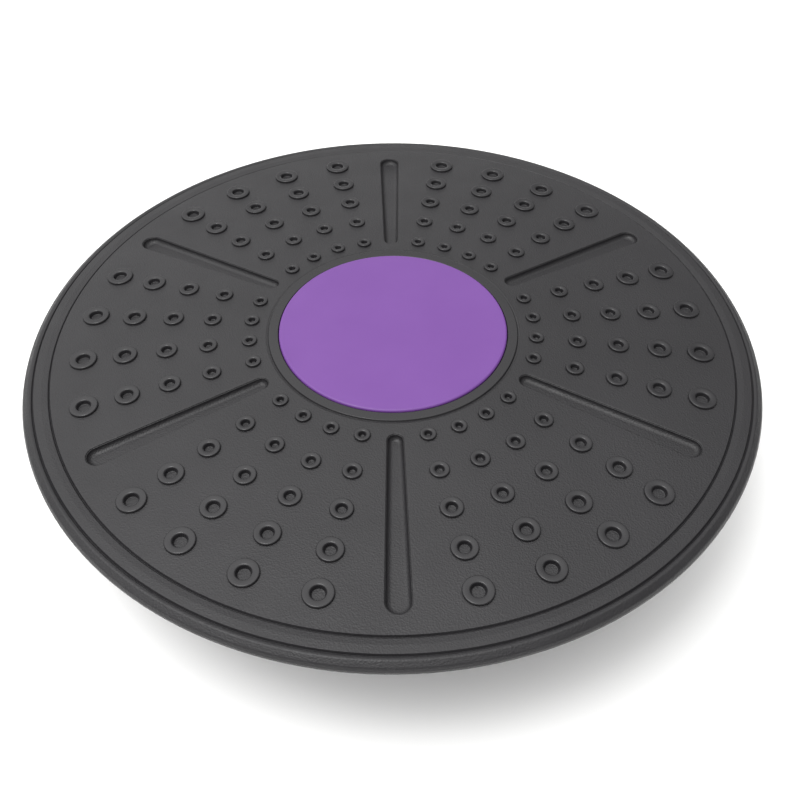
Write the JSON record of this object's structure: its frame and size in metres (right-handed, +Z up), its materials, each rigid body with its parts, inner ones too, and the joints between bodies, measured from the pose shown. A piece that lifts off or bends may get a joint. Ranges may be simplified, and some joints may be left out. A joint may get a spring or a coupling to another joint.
{
  "type": "round balance board",
  "caption": "Round balance board: shallow conical deck with raised massage rings and radial grooves, turning on a ball bearing above a rounded dome base with a rubber foot.",
  "frame": {"origin": "on the floor under the middle of the foot pad", "axes": "+Z up along the pivot axis; -Y towards the user, along one of the six grooves; +X to the right"},
  "size_m": [0.36, 0.36, 0.08],
  "materials": {
    "black_plastic": "black polypropylene with a fine moulded leather grain",
    "disc_plastic": "purple polypropylene, smooth satin",
    "purple_plastic": "purple polypropylene with a fine moulded grain",
    "pad_rubber": "black thermoplastic rubber, matte",
    "race_steel": "turned steel ring, lightly oiled",
    "zinc_steel": "bright zinc-plated steel",
    "ball_steel": "polished bearing steel",
    "acetal": "natural acetal",
    "washer_nylon": "natural nylon"
  },
  "bodies": {
    "base": {"foot_pad": "pad_rubber", "dome_shell": "purple_plastic", "dome_plate": "black_plastic", "lower_race": "race_steel", "pivot_bolt": "zinc_steel", "thrust_washer": "washer_nylon", "steel_washer": "zinc_steel", "lock_nut": "zinc_steel", "dome_screw_01": "zinc_steel", "dome_screw_02": "zinc_steel", "dome_screw_03": "zinc_steel", "dome_screw_04": "zinc_steel", "dome_screw_05": "zinc_steel", "dome_screw_06": "zinc_steel"},
    "bearing": {"ball_cage": "acetal", "ball_01": "ball_steel", "ball_02": "ball_steel", "ball_03": "ball_steel", "ball_04": "ball_steel", "ball_05": "ball_steel", "ball_06": "ball_steel", "ball_07": "ball_steel", "ball_08": "ball_steel", "ball_09": "ball_steel", "ball_10": "ball_steel", "ball_11": "ball_steel", "ball_12": "ball_steel"},
    "deck": {"deck": "black_plastic", "centre_disc": "disc_plastic", "bearing_housing": "black_plastic", "upper_race": "race_steel", "pivot_bush": "acetal", "deck_screw_01": "zinc_steel", "deck_screw_02": "zinc_steel", "deck_screw_03": "zinc_steel", "deck_screw_04": "zinc_steel", "deck_screw_05": "zinc_steel", "deck_screw_06": "zinc_steel"}
  },
  "joints": [
    {"name": "deck_swivel", "type": "hinge", "parent": "base", "child": "deck", "pos_m": [0, 0, 0.058], "axis": [0, 0, 1], "continuous": true},
    {"name": "bearing_roll", "type": "hinge", "parent": "base", "child": "bearing", "pos_m": [0, 0, 0.058], "axis": [0, 0, 1], "continuous": true}
  ],
  "couplings": [
    {"joint": "bearing_roll", "follows": "deck_swivel", "ratio": 0.5}
  ]
}
